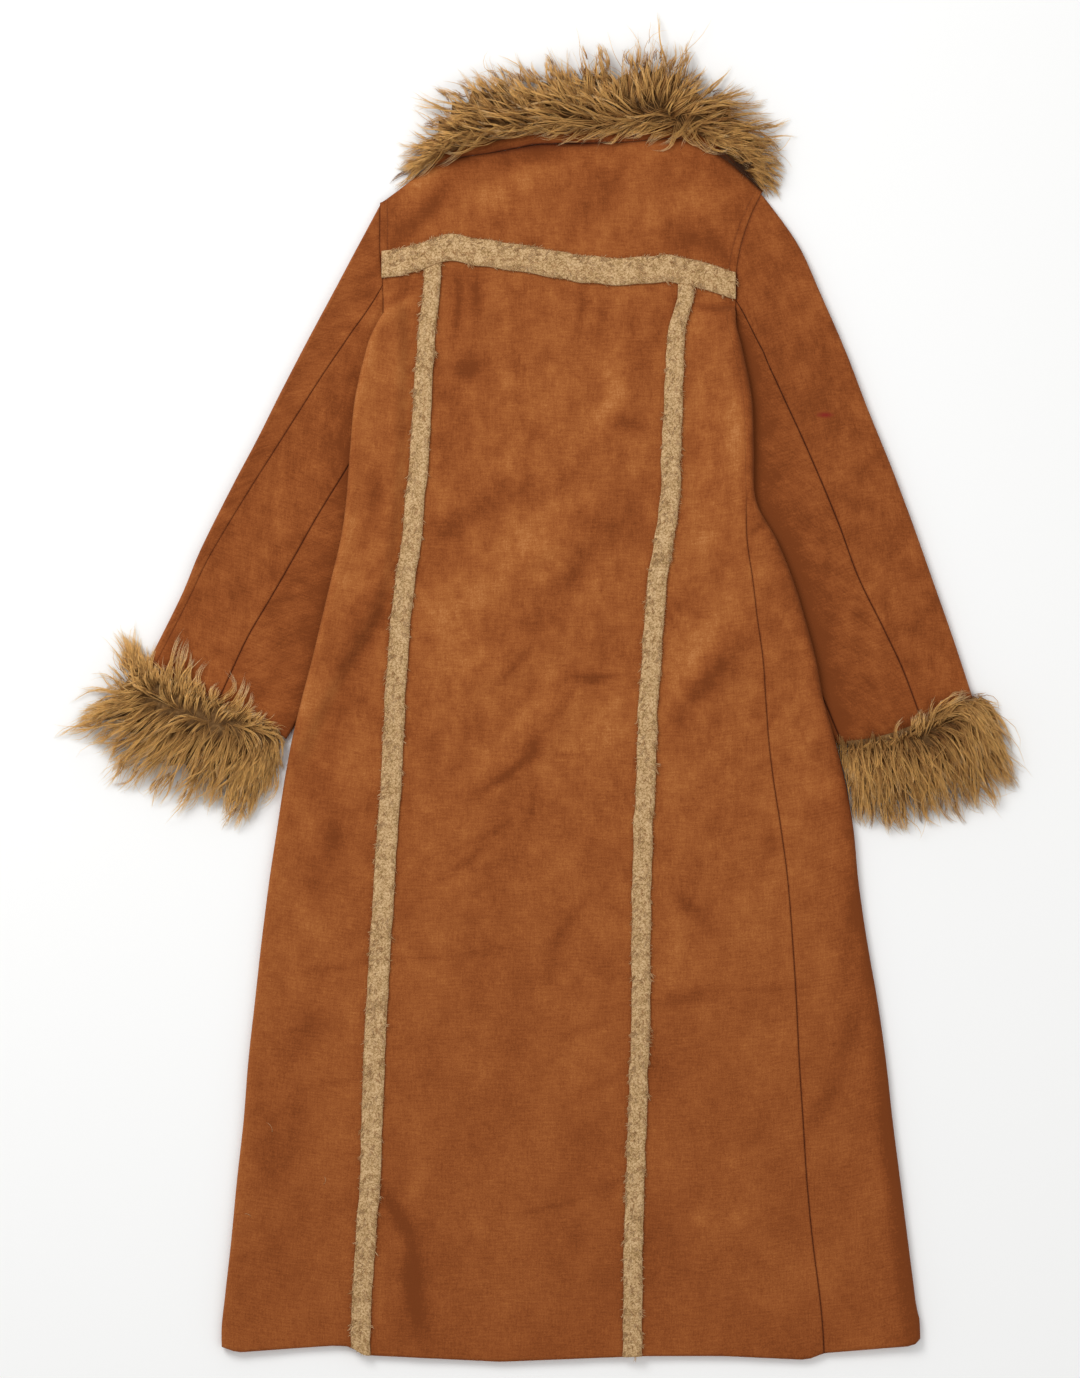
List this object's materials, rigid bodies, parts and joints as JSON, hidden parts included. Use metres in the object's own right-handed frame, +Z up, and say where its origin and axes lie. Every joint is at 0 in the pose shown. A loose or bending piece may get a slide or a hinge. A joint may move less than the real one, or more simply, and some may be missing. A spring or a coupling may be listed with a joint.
{
  "type": "sherpa coat",
  "caption": "Long suede sherpa coat laid flat with its back up, with a shaggy fur collar and cuffs and pile strips over the yoke and back seams.",
  "frame": {"origin": "on the surface the coat lies on, in the middle of its outline", "axes": "+X to the right as the back is looked down on, +Y towards the collar, +Z up from the surface"},
  "size_m": [1.007, 1.406, 0.0394],
  "materials": {
    "suede": "brushed faux suede with a soft mottled nap",
    "pile": "short curly sherpa pile",
    "fur": "long shaggy faux fur"
  },
  "bodies": {
    "root": {"back_yoke": "suede", "back_left": "suede", "back_centre": "suede", "back_right": "suede", "front_left": "suede", "front_right": "suede", "sleeve_left_top": "suede", "sleeve_left_under": "suede", "sleeve_right_top": "suede", "sleeve_right_under": "suede", "collar_stand": "suede", "strip_yoke": "pile", "strip_left": "pile", "strip_right": "pile", "collar_fur": "fur", "cuff_left": "fur", "cuff_right": "fur"}
  },
  "joints": []
}
